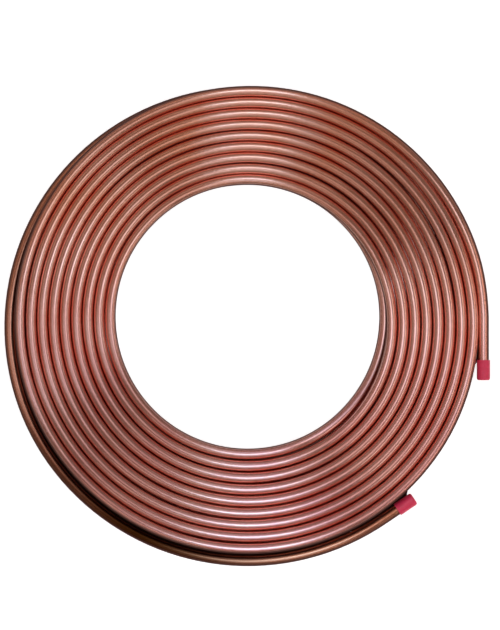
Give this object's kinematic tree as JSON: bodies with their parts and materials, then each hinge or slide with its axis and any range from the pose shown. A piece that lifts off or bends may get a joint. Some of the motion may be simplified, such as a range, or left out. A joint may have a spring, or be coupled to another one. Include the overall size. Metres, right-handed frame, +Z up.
{
  "type": "copper tube coil",
  "caption": "Flat double-layer pancake coil of soft copper tube with a red push-on cap on each end.",
  "frame": {"origin": "the middle of the coil's bounding box, on the floor that the coil lies on; the bore's axis stands 8.3 mm from it towards +Y", "axes": "+Z up along the bore's axis, from the lower layer to the upper one; +X towards the side where the upper end of the tube leaves the coil, whose cap points along -Y"},
  "size_m": [0.429, 0.4241, 0.0193],
  "materials": {
    "copper": "polished",
    "cap_vinyl": "satin"
  },
  "bodies": {
    "root": {"copper_tube": "copper", "lower_end_cap": "cap_vinyl", "upper_end_cap": "cap_vinyl"}
  },
  "joints": []
}
